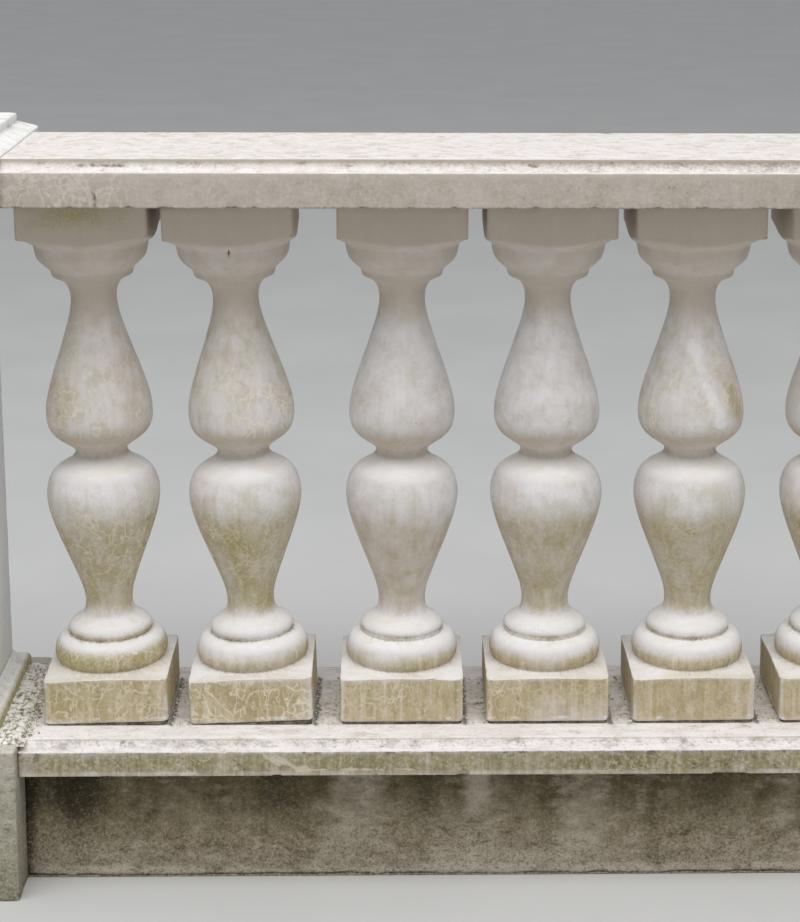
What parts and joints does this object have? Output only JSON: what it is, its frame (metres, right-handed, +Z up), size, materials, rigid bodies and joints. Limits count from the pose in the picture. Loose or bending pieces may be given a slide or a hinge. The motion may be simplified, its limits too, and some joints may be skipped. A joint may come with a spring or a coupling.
{
  "type": "concrete balustrade",
  "caption": "Bay of a cast concrete balustrade: double-bulb balusters between a bottom rail on a dwarf wall and a moulded top rail, closed by a capped pier at each end.",
  "frame": {"origin": "middle of the bay at ground level, on the centre line of the rails and piers", "axes": "+X along the run to the right, +Y to the back, +Z up"},
  "size_m": [2.094, 0.32, 0.9151],
  "materials": {
    "cast_concrete": "matte",
    "rendered_wall": "matte",
    "bedding_mortar": "matte"
  },
  "bodies": {
    "root": {"baluster_1": "cast_concrete", "baluster_2": "cast_concrete", "baluster_3": "cast_concrete", "baluster_4": "cast_concrete", "baluster_5": "cast_concrete", "baluster_6": "cast_concrete", "baluster_7": "cast_concrete", "baluster_8": "cast_concrete", "bottom_rail": "cast_concrete", "top_rail": "cast_concrete", "dwarf_wall": "rendered_wall", "left_pier_plinth": "rendered_wall", "left_pier_base": "cast_concrete", "left_pier_die": "cast_concrete", "left_pier_cap": "cast_concrete", "right_pier_plinth": "rendered_wall", "right_pier_base": "cast_concrete", "right_pier_die": "cast_concrete", "right_pier_cap": "cast_concrete", "lower_bed_1": "bedding_mortar", "lower_bed_2": "bedding_mortar", "lower_bed_3": "bedding_mortar", "lower_bed_4": "bedding_mortar", "lower_bed_5": "bedding_mortar", "lower_bed_6": "bedding_mortar", "lower_bed_7": "bedding_mortar", "lower_bed_8": "bedding_mortar", "upper_bed_1": "bedding_mortar", "upper_bed_2": "bedding_mortar", "upper_bed_3": "bedding_mortar", "upper_bed_4": "bedding_mortar", "upper_bed_5": "bedding_mortar", "upper_bed_6": "bedding_mortar", "upper_bed_7": "bedding_mortar", "upper_bed_8": "bedding_mortar"}
  },
  "joints": []
}
